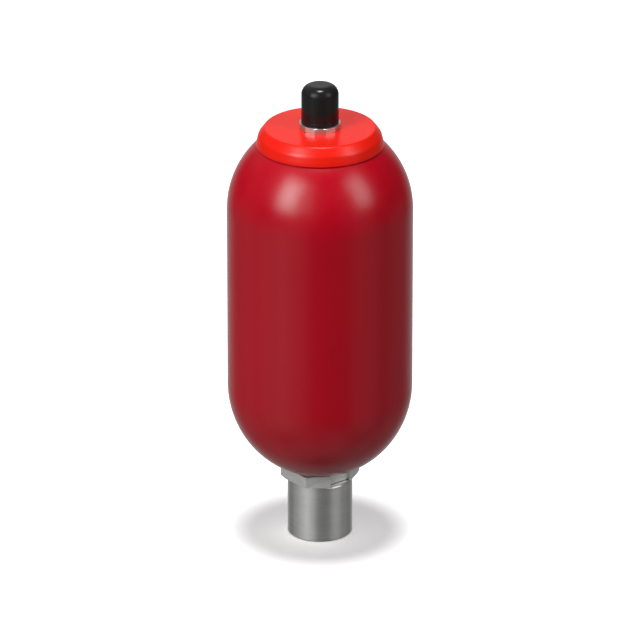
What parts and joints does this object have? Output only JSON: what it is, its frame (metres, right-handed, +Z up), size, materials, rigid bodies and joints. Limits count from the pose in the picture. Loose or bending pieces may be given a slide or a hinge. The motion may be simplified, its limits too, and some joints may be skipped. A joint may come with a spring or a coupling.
{
  "type": "bladder accumulator",
  "caption": "Upright hydraulic bladder accumulator: domed steel pressure shell, threaded fluid port with hex lock nut, gas valve under a screw cap.",
  "frame": {"origin": "centre of the port's end face, the lowest point of the part", "axes": "+Z up along the axis of revolution, from the fluid port to the gas valve cap; +Y away from the pictured side"},
  "size_m": [0.171, 0.171, 0.4453],
  "materials": {
    "shell_paint": "satin enamel over forged steel",
    "cover_plastic": "glossy moulded plastic",
    "cap_plastic": "semi-gloss moulded plastic",
    "bladder_rubber": "matt moulded nitrile rubber",
    "seal_rubber": "satin nitrile rubber",
    "support_plastic": "plain turned support ring",
    "port_steel": "turned satin steel",
    "nut_steel": "machined steel, lightly phosphated",
    "ring_steel": "turned steel",
    "valve_steel": "fine turned steel",
    "spring_steel": "drawn spring wire",
    "fastener_steel": "zinc plated",
    "insert_brass": "turned brass",
    "retainer_steel": "bright plated steel",
    "seal_cap_brass": "turned brass"
  },
  "bodies": {
    "accumulator": {"shell": "shell_paint", "top_cover": "cover_plastic", "bladder": "bladder_rubber", "port_o_ring": "seal_rubber", "seal_cap_o_ring": "seal_rubber", "support_ring": "support_plastic", "fluid_port_body": "port_steel", "fluid_side_lock_nut": "nut_steel", "spacer_ring": "ring_steel", "seal_washer": "ring_steel", "anti_extrusion_ring": "ring_steel", "poppet_spring": "spring_steel", "gas_valve_stem": "valve_steel", "gas_valve_insert": "insert_brass", "gas_side_washer": "fastener_steel", "gas_side_lock_nut": "nut_steel", "cover_retaining_nut": "retainer_steel", "valve_seal_cap": "seal_cap_brass"},
    "poppet_valve": {"poppet": "valve_steel", "damping_sleeve": "valve_steel", "castle_nut": "fastener_steel", "split_pin": "fastener_steel"},
    "protection_cap": {"valve_protection_cap": "cap_plastic"}
  },
  "joints": [
    {"name": "poppet_close", "type": "slide", "parent": "accumulator", "child": "poppet_valve", "axis": [0, 0, -1], "range_m": [0, 0.01], "stiffness_N_per_m": 900, "springref_m": -0.008, "deforming": ["poppet_spring"]},
    {"name": "cap_lift", "type": "slide", "parent": "accumulator", "child": "protection_cap", "axis": [0, 0, 1], "range_m": [0, 0.045]}
  ]
}
